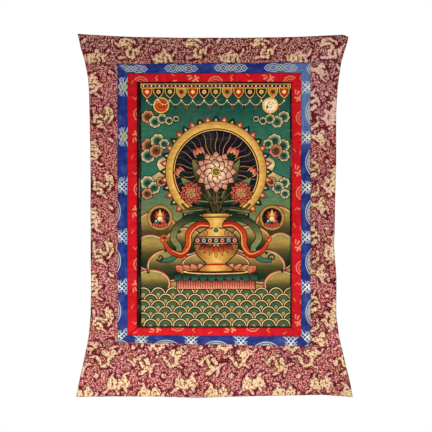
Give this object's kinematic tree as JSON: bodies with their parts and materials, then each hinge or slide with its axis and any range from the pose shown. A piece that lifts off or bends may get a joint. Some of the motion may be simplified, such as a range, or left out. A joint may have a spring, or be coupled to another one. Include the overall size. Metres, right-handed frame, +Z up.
{
  "type": "thangka scroll painting",
  "caption": "Wall hanging: a painted canvas framed by mitred red and blue brocade strips and flared maroon brocade panels, hung by its top edge.",
  "frame": {"origin": "in the cloth at the middle of the top edge", "axes": "+Z up, +X to the right seen from the front, the painted front faces -Y"},
  "size_m": [0.5531, 0.0148, 0.7294],
  "materials": {
    "painted_canvas": "matte pigment on fine primed cotton, lightly cracked across",
    "red_brocade": "red satin brocade with sparse orange motifs",
    "blue_brocade": "royal blue satin brocade with pale lattice knots",
    "maroon_brocade": "maroon satin brocade with gold dragons and cloud scrolls"
  },
  "bodies": {
    "root": {"painted_canvas": "painted_canvas", "red_strip_top": "red_brocade", "red_strip_bottom": "red_brocade", "red_strip_left": "red_brocade", "red_strip_right": "red_brocade", "blue_strip_top": "blue_brocade", "blue_strip_bottom": "blue_brocade", "blue_strip_left": "blue_brocade", "blue_strip_right": "blue_brocade", "maroon_panel_top": "maroon_brocade", "maroon_panel_bottom": "maroon_brocade", "maroon_panel_left": "maroon_brocade", "maroon_panel_right": "maroon_brocade"}
  },
  "joints": []
}
